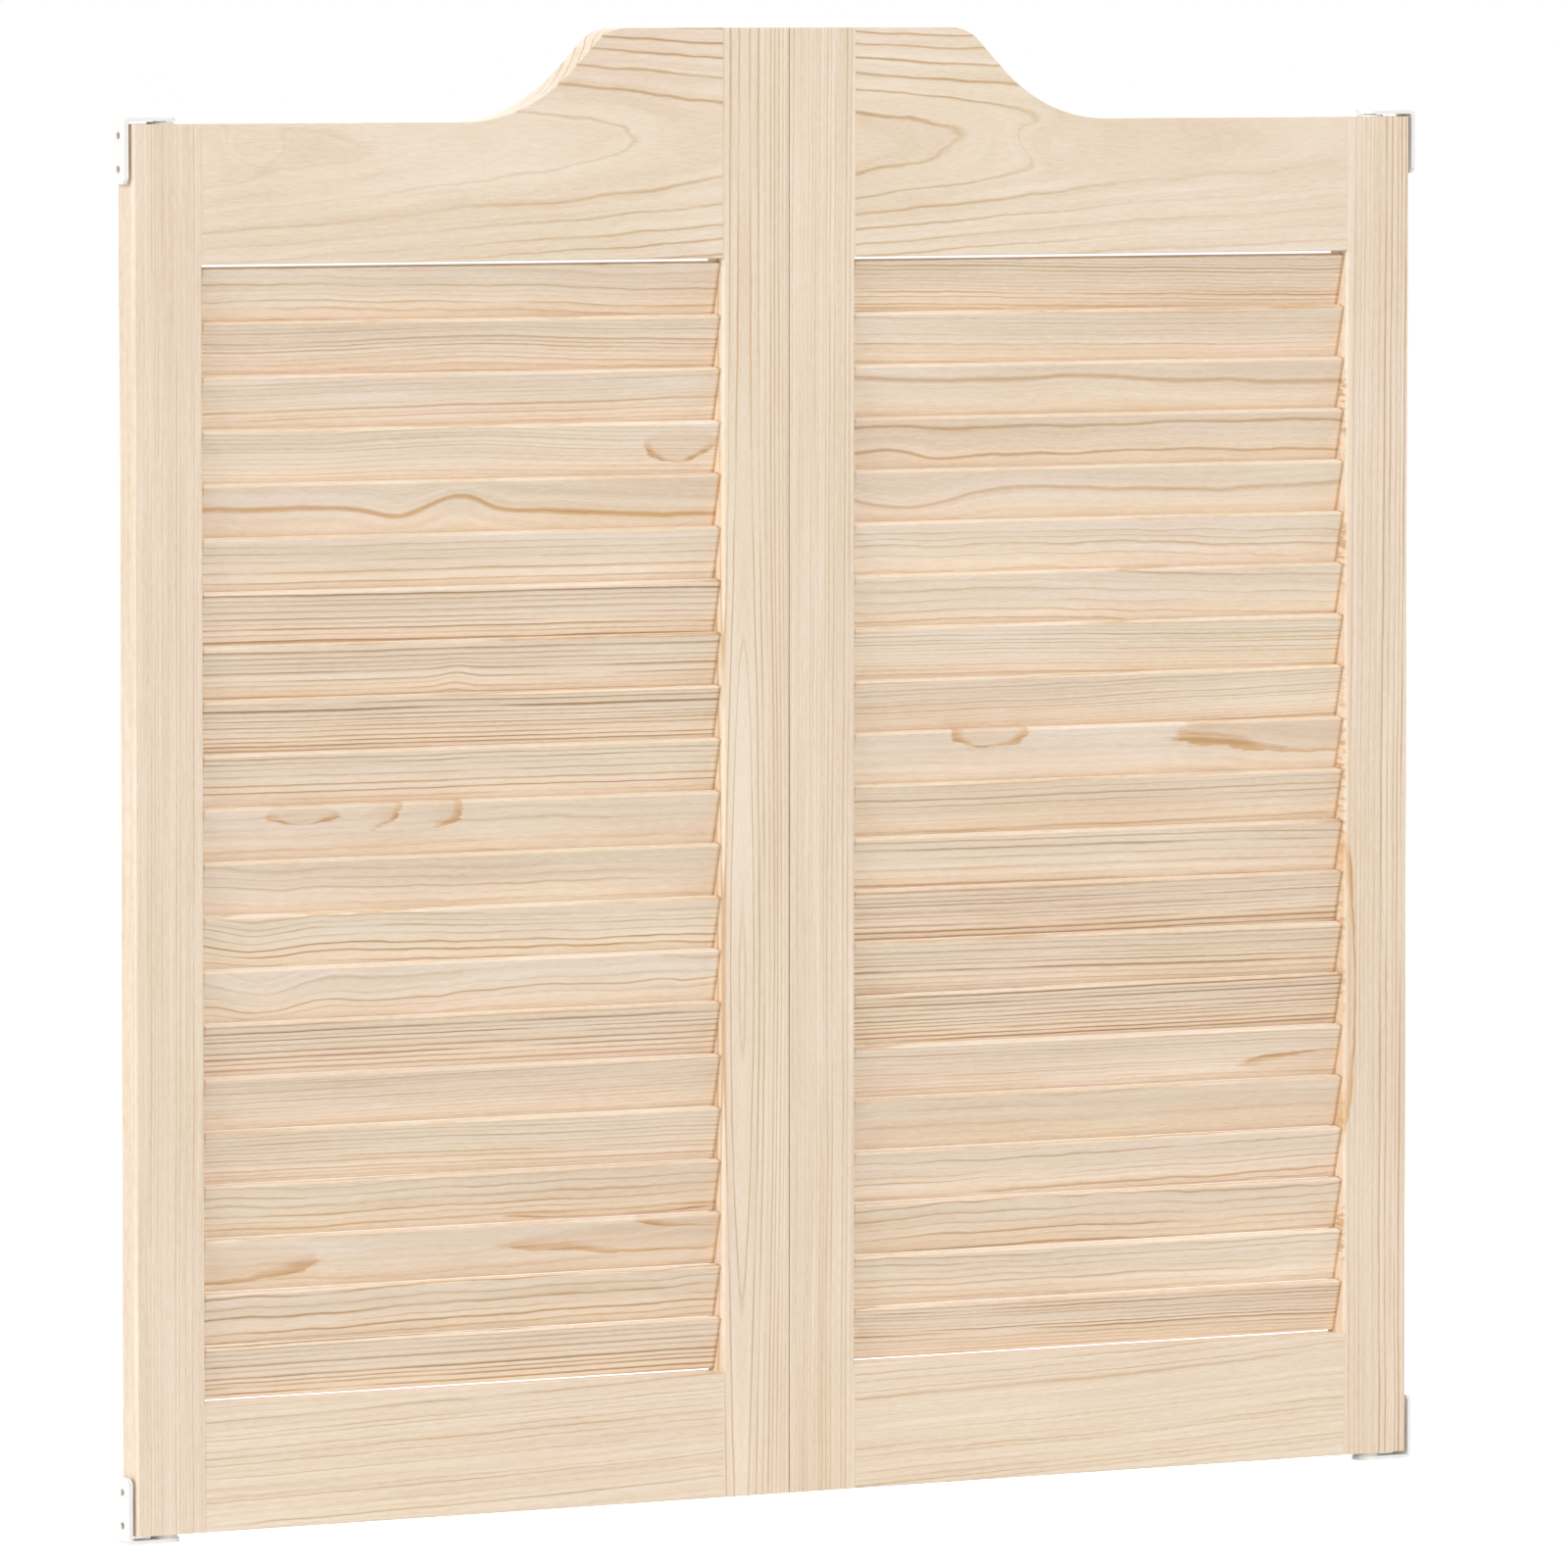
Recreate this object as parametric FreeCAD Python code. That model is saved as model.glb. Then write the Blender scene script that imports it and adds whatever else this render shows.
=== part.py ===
"""Pair of louvred cafe doors: two mirrored leaves that swing on pivot brackets.

Frame: X runs along the doorway, Y through the thickness with the front at -Y, Z up.
The origin lies midway between the jambs, at mid-thickness, level with the underside
of the bottom brackets.  Every leaf is built in the place of the left one, and the
right one is its mirror image in the plane X = 0.
"""

import FreeCAD
import Part

import math
import os

# ---- Leaf -------------------------------------------------------------------
leaf_width = 450.0
leaf_height = 900.0          # at the meeting stile
leaf_thickness = 20.0
shoulder_drop = 56.5         # from the crest down to the shoulder at the hinge side
meeting_gap = 0.6            # between the two closed leaves

# ---- Frame members ----------------------------------------------------------
stile_width = 46.5
top_rail_height = 83.8       # at the shoulder
bottom_rail_height = 77.0
stile_arris = 2.0            # rounding of a stile's long edges
meeting_arris = 0.5          # the two edges where the leaves meet stay almost sharp
rail_ease = 0.5              # chamfer along a rail's faces

# ---- S-curve of the top rail -------------------------------------------------
crest_width = 115.0          # level crest, from the meeting edge
brow_radius = 28.0           # rounded brow at the end of the crest
hollow_radius = 105.0        # hollow that runs out into the shoulder
slope_angle = 45.0           # of the straight between brow and hollow

# ---- Slats --------------------------------------------------------------------
slat_count = 21
slat_thickness = 6.0
slat_tilt = 16.0             # from upright, top edge towards the front
slat_overlap = 0.7           # each slat hides this much of the next one's height
slat_ease = 0.8              # chamfer of the long edges
slat_top_gap = 1.5           # between the first slat and the top rail
slat_bottom_gap = 1.4        # between the last slat and the bottom rail
housing_depth = 8.0          # slots in the stiles
housing_clearance = 0.1      # around a slat in its slot

# ---- Stub tenons of the rails, blind in the stiles ------------------------------
tenon_length = 15.0
tenon_thickness = 7.0
tenon_shoulder = 12.0        # from the rail's edges to the tenon
mortise_clearance = 0.1      # round the tenon
mortise_end_gap = 1.0        # glue space at the tenon's end

# ---- Pivot hardware -------------------------------------------------------------
pin_radius = 4.0
pin_length = 15.0            # from the strap
pin_tip_chamfer = 0.8
pin_neck_radius = 3.0        # riveted through the strap
pin_neck_clearance = 0.05
pin_running_clearance = 0.05
bush_wall = 2.0
bush_length = 18.0
bush_flange_radius = 8.0
bush_flange_thickness = 1.2
bush_seat_clearance = 0.05   # round the bush in the stile
bush_end_gap = 1.0           # past the end of the bush in its hole
washer_radius = 8.0
washer_thickness = 1.0
washer_clearance = 0.1       # round the pin
thrust_clearance = 0.1       # between the bottom bush and the thrust washer
top_play = 0.5               # between the top bush and its strap

# ---- Jamb brackets -----------------------------------------------------------------
bracket_thickness = 2.5
bracket_width = 18.0
bracket_bend_radius = 1.0    # inside the bend
flange_height = 40.0         # from the strap's outer face
flange_corner_chamfer = 3.0
swing_gap = 2.2              # between the leaf's edge and the flange
screw_hole_radius = 2.25
screw_head_radius = 3.75     # mouth of the countersink
screw_hole_spacing = 20.0
screw_end_distance = 9.0     # from the flange's free end to the nearer hole

# ---- Places worked out from the sizes above ----------------------------------------
leaf_bottom = bracket_thickness + washer_thickness + thrust_clearance + bush_flange_thickness
leaf_top = leaf_bottom + leaf_height
shoulder = leaf_top - shoulder_drop
meeting_edge = -meeting_gap / 2
hinge_edge = meeting_edge - leaf_width
front = -leaf_thickness / 2
rail_start = hinge_edge + stile_width
rail_end = meeting_edge - stile_width
top_rail_bottom = shoulder - top_rail_height
bottom_rail_top = leaf_bottom + bottom_rail_height

slat_space = top_rail_bottom - slat_top_gap - bottom_rail_top - slat_bottom_gap
slat_pitch = (slat_space - slat_overlap) / slat_count
slat_rise = slat_pitch + slat_overlap
tilt = math.radians(slat_tilt)
slat_width = (slat_rise - slat_thickness * math.sin(tilt)) / math.cos(tilt)

pivot_x = hinge_edge + stile_width / 2
bush_radius = pin_radius + pin_running_clearance + bush_wall
top_strap_face = shoulder + bush_flange_thickness + top_play
jamb_face = hinge_edge - swing_gap - bracket_thickness
flange_face = jamb_face + bracket_thickness

ORIGIN = FreeCAD.Vector(0, 0, 0)
X_AXIS = FreeCAD.Vector(1, 0, 0)
Y_AXIS = FreeCAD.Vector(0, 1, 0)
Z_AXIS = FreeCAD.Vector(0, 0, 1)
SAME_PLACE = 1e-6
PARALLEL = 0.999             # least cosine between an edge and the axis it runs along


def box(low_x, low_y, low_z, high_x, high_y, high_z):
    """Box between two opposite corners."""
    corner = FreeCAD.Vector(low_x, low_y, low_z)
    return Part.makeBox(high_x - low_x, high_y - low_y, high_z - low_z, corner)


def edges_along(solid, axis):
    """Straight edges of a solid that run along an axis."""
    return [edge for edge in solid.Edges
            if isinstance(edge.Curve, Part.Line) and abs(edge.Curve.Direction.dot(axis)) > PARALLEL]


# ---- Slats and their housings ---------------------------------------------------------

def slat_heights():
    """Heights of the slats' centres, from the top one down."""
    first = top_rail_bottom - slat_top_gap - slat_rise / 2
    return [first - i * slat_pitch for i in range(slat_count)]


def tilted(blank, centre_z):
    """Turn an upright blank to the slats' tilt and lift it to its height."""
    blank.rotate(ORIGIN, X_AXIS, slat_tilt)
    blank.translate(Z_AXIS * centre_z)
    return blank


def slat(centre_z):
    """Slat with eased long edges, which ends just short of the bottoms of its slots."""
    reach = housing_depth - housing_clearance
    blank = box(rail_start - reach, -slat_thickness / 2, -slat_width / 2,
                rail_end + reach, slat_thickness / 2, slat_width / 2)
    return tilted(blank.makeChamfer(slat_ease, edges_along(blank, X_AXIS)), centre_z)


def housing(joint_x, centre_z):
    """Slot for one end of a slat, cut from a stile's inner face at joint_x."""
    half_thickness = slat_thickness / 2 + housing_clearance
    half_width = slat_width / 2 + housing_clearance
    blank = box(joint_x - housing_depth, -half_thickness, -half_width,
                joint_x + housing_depth, half_thickness, half_width)
    return tilted(blank, centre_z)


# ---- Rails and their tenons --------------------------------------------------------------

def tenon_spans(meeting_side):
    """Lowest and highest z of the bottom and the top rail's tenon at one stile."""
    top = leaf_top if meeting_side else shoulder
    return [(leaf_bottom + tenon_shoulder, bottom_rail_top - tenon_shoulder),
            (top_rail_bottom + tenon_shoulder, top - tenon_shoulder)]


def tenon(joint_x, span, clearance, length):
    """Tenon or mortise about the joint of a rail and a stile, as long on both sides."""
    half_thickness = tenon_thickness / 2 + clearance
    return box(joint_x - length, -half_thickness, span[0] - clearance,
               joint_x + length, half_thickness, span[1] + clearance)


def rail(outline, level):
    """Board of the leaf's thickness with eased faces and a tenon at each end."""
    board = Part.Face(outline).extrude(Y_AXIS * leaf_thickness)
    long_edges = [edge for edge in board.Edges
                  if edge.BoundBox.YLength < SAME_PLACE and edge.BoundBox.XLength > SAME_PLACE]
    board = board.makeChamfer(rail_ease, long_edges)
    tenons = [tenon(rail_start, tenon_spans(False)[level], 0, tenon_length),
              tenon(rail_end, tenon_spans(True)[level], 0, tenon_length)]
    return board.fuse(tenons).removeSplitter()


def bottom_rail():
    """Plain rail between the stiles."""
    corners = [FreeCAD.Vector(rail_start, front, leaf_bottom),
               FreeCAD.Vector(rail_end, front, leaf_bottom),
               FreeCAD.Vector(rail_end, front, bottom_rail_top),
               FreeCAD.Vector(rail_start, front, bottom_rail_top)]
    return rail(Part.makePolygon(corners + corners[:1]), 0)


def s_curve():
    """Edges of the S-curve from the crest's end down to the start of the shoulder."""
    slope = math.radians(slope_angle)
    downhill = FreeCAD.Vector(-math.cos(slope), 0, -math.sin(slope))
    outward = FreeCAD.Vector(-math.sin(slope), 0, math.cos(slope))
    halfway = (Z_AXIS + outward).normalize()
    arc_drop = (brow_radius + hollow_radius) * (1 - math.cos(slope))
    straight = (shoulder_drop - arc_drop) / math.sin(slope)

    crest_end = FreeCAD.Vector(meeting_edge - crest_width, front, leaf_top)
    brow_centre = crest_end - Z_AXIS * brow_radius
    brow_end = brow_centre + outward * brow_radius
    hollow_start = brow_end + downhill * straight
    hollow_centre = hollow_start + outward * hollow_radius
    hollow_end = hollow_centre - Z_AXIS * hollow_radius
    brow = Part.Arc(crest_end, brow_centre + halfway * brow_radius, brow_end)
    hollow = Part.Arc(hollow_start, hollow_centre - halfway * hollow_radius, hollow_end)
    return [brow.toShape(), Part.makeLine(brow_end, hollow_start), hollow.toShape()]


def top_rail():
    """Rail sawn to the S-curve, from the crest down to the shoulder."""
    curve = s_curve()
    crest_end = curve[0].firstVertex().Point
    shoulder_start = curve[-1].lastVertex().Point
    corners = [shoulder_start,
               FreeCAD.Vector(rail_start, front, shoulder),
               FreeCAD.Vector(rail_start, front, top_rail_bottom),
               FreeCAD.Vector(rail_end, front, top_rail_bottom),
               FreeCAD.Vector(rail_end, front, leaf_top),
               crest_end]
    return rail(Part.Wire(curve + Part.makePolygon(corners).Edges), 1)


# ---- Stiles ---------------------------------------------------------------------------

def stile(low_x, high_x, top, meeting_side):
    """Upright with rounded long edges, slots for the slats and mortises for the tenons."""
    blank = box(low_x, front, leaf_bottom, high_x, -front, top)
    joint_x = low_x if meeting_side else high_x
    inner_edges = [edge for edge in edges_along(blank, Z_AXIS)
                   if abs(edge.CenterOfMass.x - joint_x) < SAME_PLACE]
    blank = blank.makeFillet(stile_arris, inner_edges)
    outer_edges = [edge for edge in edges_along(blank, Z_AXIS)
                   if abs(edge.CenterOfMass.x - joint_x) > stile_width - SAME_PLACE]
    blank = blank.makeFillet(meeting_arris if meeting_side else stile_arris, outer_edges)
    slots = [housing(joint_x, z) for z in slat_heights()]
    mortises = [tenon(joint_x, span, mortise_clearance, tenon_length + mortise_end_gap)
                for span in tenon_spans(meeting_side)]
    return blank.cut(slots + mortises)


def hinge_stile():
    """Outer stile, as high as the shoulder, bored at both ends for the pivot bushes."""
    radius = bush_radius + bush_seat_clearance
    depth = bush_length + bush_end_gap
    bores = [Part.makeCylinder(radius, depth, FreeCAD.Vector(pivot_x, 0, leaf_bottom), Z_AXIS),
             Part.makeCylinder(radius, depth, FreeCAD.Vector(pivot_x, 0, shoulder), -Z_AXIS)]
    return stile(hinge_edge, rail_start, shoulder, False).cut(bores)


def meeting_stile():
    """Inner stile, as high as the crest."""
    return stile(rail_end, meeting_edge, leaf_top, True)


# ---- Pivot hardware ----------------------------------------------------------------------
# Each end of a hinge stile has the same set.  The top set is upside down, so the functions
# take the height of the seat and the direction, up or down, that points into the stile.

def bush(stile_end, inward):
    """Flanged bush that seats on an end of the stile."""
    seat = FreeCAD.Vector(pivot_x, 0, stile_end)
    face = seat - inward * bush_flange_thickness
    tube = Part.makeCylinder(bush_radius, bush_length, seat, inward)
    flange = Part.makeCylinder(bush_flange_radius, bush_flange_thickness, face, inward)
    bore = Part.makeCylinder(pin_radius + pin_running_clearance,
                             bush_length + bush_flange_thickness, face, inward)
    return tube.fuse(flange).cut(bore)


def pivot_pin(strap_face, inward):
    """Pin that stands on a strap, with its neck riveted through it."""
    foot = FreeCAD.Vector(pivot_x, 0, strap_face)
    body = Part.makeCylinder(pin_radius, pin_length - pin_tip_chamfer, foot, inward)
    tip = Part.makeCone(pin_radius, pin_radius - pin_tip_chamfer, pin_tip_chamfer,
                        foot + inward * (pin_length - pin_tip_chamfer), inward)
    neck = Part.makeCylinder(pin_neck_radius, bracket_thickness, foot, -inward)
    return body.fuse([tip, neck])


def thrust_washer(strap_face):
    """Washer round the bottom pin that carries the leaf's weight."""
    seat = FreeCAD.Vector(pivot_x, 0, strap_face)
    disc = Part.makeCylinder(washer_radius, washer_thickness, seat, Z_AXIS)
    hole = Part.makeCylinder(pin_radius + washer_clearance, washer_thickness, seat, Z_AXIS)
    return disc.cut(hole)


def bracket_strap(strap_face, inward):
    """Strap from the jamb to the pivot, with its end rounded about the pin."""
    half_width = bracket_width / 2
    near_jamb = [FreeCAD.Vector(pivot_x, half_width, strap_face),
                 FreeCAD.Vector(jamb_face, half_width, strap_face),
                 FreeCAD.Vector(jamb_face, -half_width, strap_face),
                 FreeCAD.Vector(pivot_x, -half_width, strap_face)]
    end = Part.Arc(near_jamb[-1], FreeCAD.Vector(pivot_x + half_width, 0, strap_face),
                   near_jamb[0])
    outline = Part.Wire(Part.makePolygon(near_jamb).Edges + [end.toShape()])
    return Part.Face(outline).extrude(-inward * bracket_thickness)


def bracket_flange(outer_face, free_end):
    """Flange against the jamb, with its two free corners chamfered."""
    blank = box(jamb_face, -bracket_width / 2, min(outer_face, free_end),
                flange_face, bracket_width / 2, max(outer_face, free_end))
    corners = [edge for edge in edges_along(blank, X_AXIS)
               if abs(edge.CenterOfMass.z - free_end) < SAME_PLACE]
    return blank.makeChamfer(flange_corner_chamfer, corners)


def screw_hole(z):
    """Hole for a countersunk screw, through the flange into the jamb."""
    shank = Part.makeCylinder(screw_hole_radius, bracket_thickness,
                              FreeCAD.Vector(jamb_face, 0, z), X_AXIS)
    countersink = Part.makeCone(screw_head_radius, screw_hole_radius,
                                screw_head_radius - screw_hole_radius,
                                FreeCAD.Vector(flange_face, 0, z), -X_AXIS)
    return [shank, countersink]


def bracket(strap_face, inward):
    """Bent bracket: a strap across the stile's end and a flange in the gap beside the leaf."""
    outer_face = strap_face - inward.z * bracket_thickness
    free_end = outer_face + inward.z * flange_height
    plate = bracket_strap(strap_face, inward).fuse(bracket_flange(outer_face, free_end))
    plate = plate.removeSplitter()
    for x, z, radius in ((flange_face, strap_face, bracket_bend_radius),
                         (jamb_face, outer_face, bracket_bend_radius + bracket_thickness)):
        bend = [edge for edge in edges_along(plate, Y_AXIS)
                if edge.CenterOfMass.isEqual(FreeCAD.Vector(x, 0, z), SAME_PLACE)]
        plate = plate.makeFillet(radius, bend)
    neck_hole = Part.makeCylinder(pin_neck_radius + pin_neck_clearance, bracket_thickness,
                                  FreeCAD.Vector(pivot_x, 0, strap_face), -inward)
    first_screw = free_end - inward.z * screw_end_distance
    second_screw = first_screw - inward.z * screw_hole_spacing
    return plate.cut([neck_hole] + screw_hole(first_screw) + screw_hole(second_screw))


# ---- Assembly ----------------------------------------------------------------------------

def leaf_nodes():
    """One leaf and its brackets, in the left leaf's place, by names without a side."""
    nodes = {
        "hinge_stile": hinge_stile(),
        "meeting_stile": meeting_stile(),
        "top_rail": top_rail(),
        "bottom_rail": bottom_rail(),
        "pivot_bushes": Part.makeCompound([bush(leaf_bottom, Z_AXIS), bush(shoulder, -Z_AXIS)]),
        "top_jamb_bracket": bracket(top_strap_face, -Z_AXIS),
        "bottom_jamb_bracket": bracket(bracket_thickness, Z_AXIS),
    }
    for number, centre_z in enumerate(slat_heights(), start=1):
        nodes["slat_%02d" % number] = slat(centre_z)
    return nodes


def mirrored(shape):
    """Mirror image in the plane between the two leaves."""
    return shape.mirror(ORIGIN, X_AXIS)


def door_nodes():
    """Every node of the pair of doors."""
    nodes = {}
    for name, shape in leaf_nodes().items():
        nodes["left_" + name] = shape
        nodes["right_" + name] = mirrored(shape)
    pins = [pivot_pin(bracket_thickness, Z_AXIS), pivot_pin(top_strap_face, -Z_AXIS)]
    washer = thrust_washer(bracket_thickness)
    nodes["pivot_pins"] = Part.makeCompound(pins + [mirrored(pin) for pin in pins])
    nodes["thrust_washers"] = Part.makeCompound([washer, mirrored(washer)])
    return nodes


os.makedirs("parts", exist_ok=True)
for node_name, node_shape in door_nodes().items():
    node_shape.exportStep(os.path.join("parts", node_name + ".step"))
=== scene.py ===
"""A pair of louvred cafe doors in raw pine, hung closed between pivot brackets.

Metres, X along the doorway, Y through the thickness with the front at -Y, Z up.
"""
import math

import bmesh
import bpy
import numpy as np
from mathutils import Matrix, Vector


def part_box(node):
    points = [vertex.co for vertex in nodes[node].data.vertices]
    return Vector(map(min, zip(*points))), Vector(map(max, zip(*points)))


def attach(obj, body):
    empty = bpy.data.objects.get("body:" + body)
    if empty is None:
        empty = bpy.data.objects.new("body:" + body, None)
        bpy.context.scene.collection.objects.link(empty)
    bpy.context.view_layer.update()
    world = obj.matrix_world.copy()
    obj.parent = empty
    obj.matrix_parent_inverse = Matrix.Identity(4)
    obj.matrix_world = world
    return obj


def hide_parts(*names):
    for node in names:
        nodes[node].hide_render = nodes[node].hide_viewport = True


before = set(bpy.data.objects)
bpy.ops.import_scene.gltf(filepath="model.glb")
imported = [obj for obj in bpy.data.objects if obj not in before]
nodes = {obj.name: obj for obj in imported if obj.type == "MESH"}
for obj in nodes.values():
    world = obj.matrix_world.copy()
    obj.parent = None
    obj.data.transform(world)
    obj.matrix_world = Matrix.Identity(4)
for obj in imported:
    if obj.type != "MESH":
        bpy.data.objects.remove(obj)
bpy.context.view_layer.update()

scene = bpy.context.scene
scene.view_settings.view_transform = "Standard"

# ---- View ----------------------------------------------------------------------------------
# A long lens stands at a person's chest height, well back and to the left of the doors,
# so that both leaves keep their true proportions and the left one shows its outer edge.

camera_place = (-3.89006, -6.74590, 0.93201)
camera_down = math.radians(3.606)
camera_turn = math.radians(29.982)
camera_lens = 291.8        # mm
camera_sensor = 36         # mm
camera_reach = 500

camera = bpy.data.objects.new("camera", bpy.data.cameras.new("camera"))
scene.collection.objects.link(camera)
scene.camera = camera
camera.location = camera_place
camera.rotation_euler = (math.radians(90) - camera_down, 0, -camera_turn)
camera.data.lens = camera_lens
camera.data.sensor_width = camera_sensor
camera.data.clip_end = camera_reach


# ---- Floor and light -----------------------------------------------------------------------
# A plain white floor under a pale sky.  Large soft boxes stand in front, at both sides, above
# and behind, so that the leaves show their shape without hard shadows.

def add(tree, kind, values=None, **settings):
    """Adds a node.  A value is a number, a vector, a colour or another node's output."""
    made = tree.nodes.new(kind)
    for name, value in settings.items():
        setattr(made, name, value)
    for name, value in (values or {}).items():
        if isinstance(value, bpy.types.NodeSocket):
            tree.links.new(value, made.inputs[name])
        else:
            made.inputs[name].default_value = value
    return made


def maths(tree, operation, *values, clamp=False):
    """Output of a Math node on up to three values."""
    return add(tree, "ShaderNodeMath", dict(enumerate(values)), operation=operation,
               use_clamp=clamp).outputs[0]


def seen_directly(tree):
    """1 for rays from the eye, also off a mirror or through glass."""
    path = add(tree, "ShaderNodeLightPath").outputs
    first_two = maths(tree, "MAXIMUM", path["Is Camera Ray"], path["Is Glossy Ray"])
    return maths(tree, "MAXIMUM", first_two, path["Is Transmission Ray"])


white = (1, 1, 1, 1)
sky_strength = 0.22
world = bpy.data.worlds.new("studio")
scene.world = world
world.use_nodes = True
sky = world.node_tree
sky.nodes.clear()
lit = add(sky, "ShaderNodeBackground", {"Color": white, "Strength": sky_strength})
seen = add(sky, "ShaderNodeBackground", {"Color": white, "Strength": 1.0})
choice = add(sky, "ShaderNodeMixShader",
             {0: seen_directly(sky), 1: lit.outputs[0], 2: seen.outputs[0]})
add(sky, "ShaderNodeOutputWorld", {"Surface": choice.outputs[0]})

floor_size = 160.0
floor_paint = (0.8, 0.8, 0.8, 1)
floor_glow = 0.88       # lifts the floor to white for the eye and leaves the shadow
half = floor_size / 2
floor_mesh = bpy.data.meshes.new("floor")
floor_mesh.from_pydata([(-half, -half, 0), (half, -half, 0), (half, half, 0), (-half, half, 0)],
                       [], [(0, 1, 2, 3)])
floor = bpy.data.objects.new("floor", floor_mesh)
scene.collection.objects.link(floor)
floor_white = bpy.data.materials.new("floor_white")
floor_white.use_nodes = True
paint = floor_white.node_tree
paint.nodes.clear()
matt = add(paint, "ShaderNodeBsdfDiffuse", {"Color": floor_paint})
glow_strength = maths(paint, "MULTIPLY", seen_directly(paint), floor_glow)
glow = add(paint, "ShaderNodeEmission", {"Color": white, "Strength": glow_strength})
both = add(paint, "ShaderNodeAddShader", {0: matt.outputs[0], 1: glow.outputs[0]})
add(paint, "ShaderNodeOutputMaterial", {"Surface": both.outputs[0]})
floor_mesh.materials.append(floor_white)

doors_middle = Vector((0, 0, 0.45))
soft_box_distance = 20.0
soft_box_size = 12.0


def soft_box(name, direction, share):
    """Large square lamp, far out.  share is its light, where 1 shows a colour as it is."""
    lamp = bpy.data.lights.new(name, "AREA")
    lamp.shape = "SQUARE"
    lamp.size = soft_box_size
    lamp.energy = share * (math.pi * soft_box_distance) ** 2
    box = bpy.data.objects.new(name, lamp)
    scene.collection.objects.link(box)
    towards = Vector(direction).normalized()
    box.location = doors_middle + towards * soft_box_distance
    box.rotation_euler = towards.to_track_quat("Z", "Y").to_euler()


soft_box("front_light", direction=(-0.30, -0.93, 0.20), share=0.325)
soft_box("left_light", direction=(-0.96, -0.15, 0.22), share=0.66)
soft_box("top_light", direction=(-0.10, -0.45, 0.88), share=0.36)
soft_box("back_light", direction=(0.35, 0.85, 0.40), share=0.52)
soft_box("right_light", direction=(0.95, -0.22, 0.20), share=0.30)


# ---- Hinge stiles --------------------------------------------------------------------------
# The outer upright of each leaf: straight-grained raw pine, planed and sanded, with rounded
# long edges.  Slots for the slats and blind mortises for the rails are cut in its inner face.

def smooth_step(tree, value, low, high):
    """0 below low, 1 above high, and smooth between them.  With low above high it falls."""
    return add(tree, "ShaderNodeMapRange", {0: value, 1: low, 2: high},
               interpolation_type="SMOOTHSTEP").outputs[0]


def ramp(tree, value, low, high, at_low=0.0, at_high=1.0):
    """at_low where the value is low or less, at_high where it is high, straight between."""
    return add(tree, "ShaderNodeMapRange",
               {0: value, 1: low, 2: high, 3: at_low, 4: at_high}).outputs[0]


def mixed(tree, share, first, second, blend="MIX"):
    """Colour between two others.  A share of 1 gives the second, or the full blend."""
    return add(tree, "ShaderNodeMix", {"Factor": share, 6: first, 7: second},
               data_type="RGBA", blend_type=blend).outputs[2]


def noise(tree, point, scale, detail, seed=None, roughness=0.5):
    """Outputs of a noise at a point, from 0 to 1 about 0.5.  Each seed gives another noise."""
    values = {"Vector": point, "Scale": scale, "Detail": detail, "Roughness": roughness}
    if seed is not None:
        values["W"] = seed
    return add(tree, "ShaderNodeTexNoise", values,
               noise_dimensions="3D" if seed is None else "4D").outputs


def vector_of(tree, x, y, z):
    """Vector of three values."""
    return add(tree, "ShaderNodeCombineXYZ", {0: x, 1: y, 2: z}).outputs[0]


def parts_of(tree, vector):
    """The three values of a vector."""
    return add(tree, "ShaderNodeSeparateXYZ", {0: vector}).outputs


def object_place(tree):
    """Place on the piece, in the doors' own frame."""
    return add(tree, "ShaderNodeTexCoord").outputs["Object"]


PINE_VALUES = (                      # name, kind, value where a board sets none
    ("Board", "Vector", (0, 0, 0)),        # along the grain, across the face, through the board
    ("Seed", "Float", 0.0),
    ("Ring", "Float", 0.003),              # from one growth ring to the next
    ("Heart across", "Float", 0.0),        # the tree's heart, seen from the board's middle
    ("Heart depth", "Float", 0.05),
    ("Lean across", "Float", 0.0),         # how fast the heart drifts along the board
    ("Lean depth", "Float", 0.0),
    ("Wave", "Float", 0.002),              # how far the grain wanders
    ("Lines", "Float", 0.6),               # darkness of the late wood
    ("Late wood", "Float", 0.4),           # its share of a ring
    ("Uneven", "Float", 1.0),              # how much one ring differs from the next
    ("Tone", "Float", 0.0),                # paler above 0, deeper below
    ("Warmth", "Float", 0.2),              # how orange the dark lines are
    ("Pale edge", "Float", 0.0),           # how much paler a slat is at its edges: painted bounce light and a painted highlight
    ("Slot side", "Float", 0.0),           # -1 or 1 for the side of a stile with the slats' slots
    ("Half width", "Float", 0.02325),      # of a stile
    ("Half length", "Float", 9.0),         # of a slat between its slots, whose ends look deeper
    ("Eye", "Vector", (9, 0, 0)),          # swelling in the rings: along, across, height
    ("Eye size", "Vector", (0.03, 0.01, 0)),
    ("Eye 2", "Vector", (9, 0, 0)),
    ("Eye 2 size", "Vector", (0.03, 0.01, 0)),
    # Brown flames or knots: along, across, half length.  Below 0, only the end furthest along
    # shows.
    ("Flame", "Vector", (9, 0, 0.01)),
    ("Flame 2", "Vector", (9, 0, 0.01)),
    ("Flame 3", "Vector", (9, 0, 0.01)),
    # Half the height of each flame, across.  Below 0, the flame is turned over.
    ("Flame heights", "Vector", (0.005, 0.005, 0.005)),
)

WOOD_COLOURS = (                     # darkness, colour
    (0.0, (0.900, 0.793, 0.688)),
    (0.2, (0.808, 0.673, 0.534)),
    (0.5, (0.650, 0.474, 0.318)),
    (1.0, (0.405, 0.258, 0.148)),
)
plain_darkness = 0.17                # of early wood with no tone
pink_tint = (1.0, 0.993, 0.995, 1)
straw_tint = (1.0, 1.003, 0.978, 1)
orange_tint = (1.08, 0.99, 0.80, 1)
flame_brown = (0.700, 0.440, 0.230, 1)
flame_dark = (0.580, 0.350, 0.172, 1)


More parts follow.
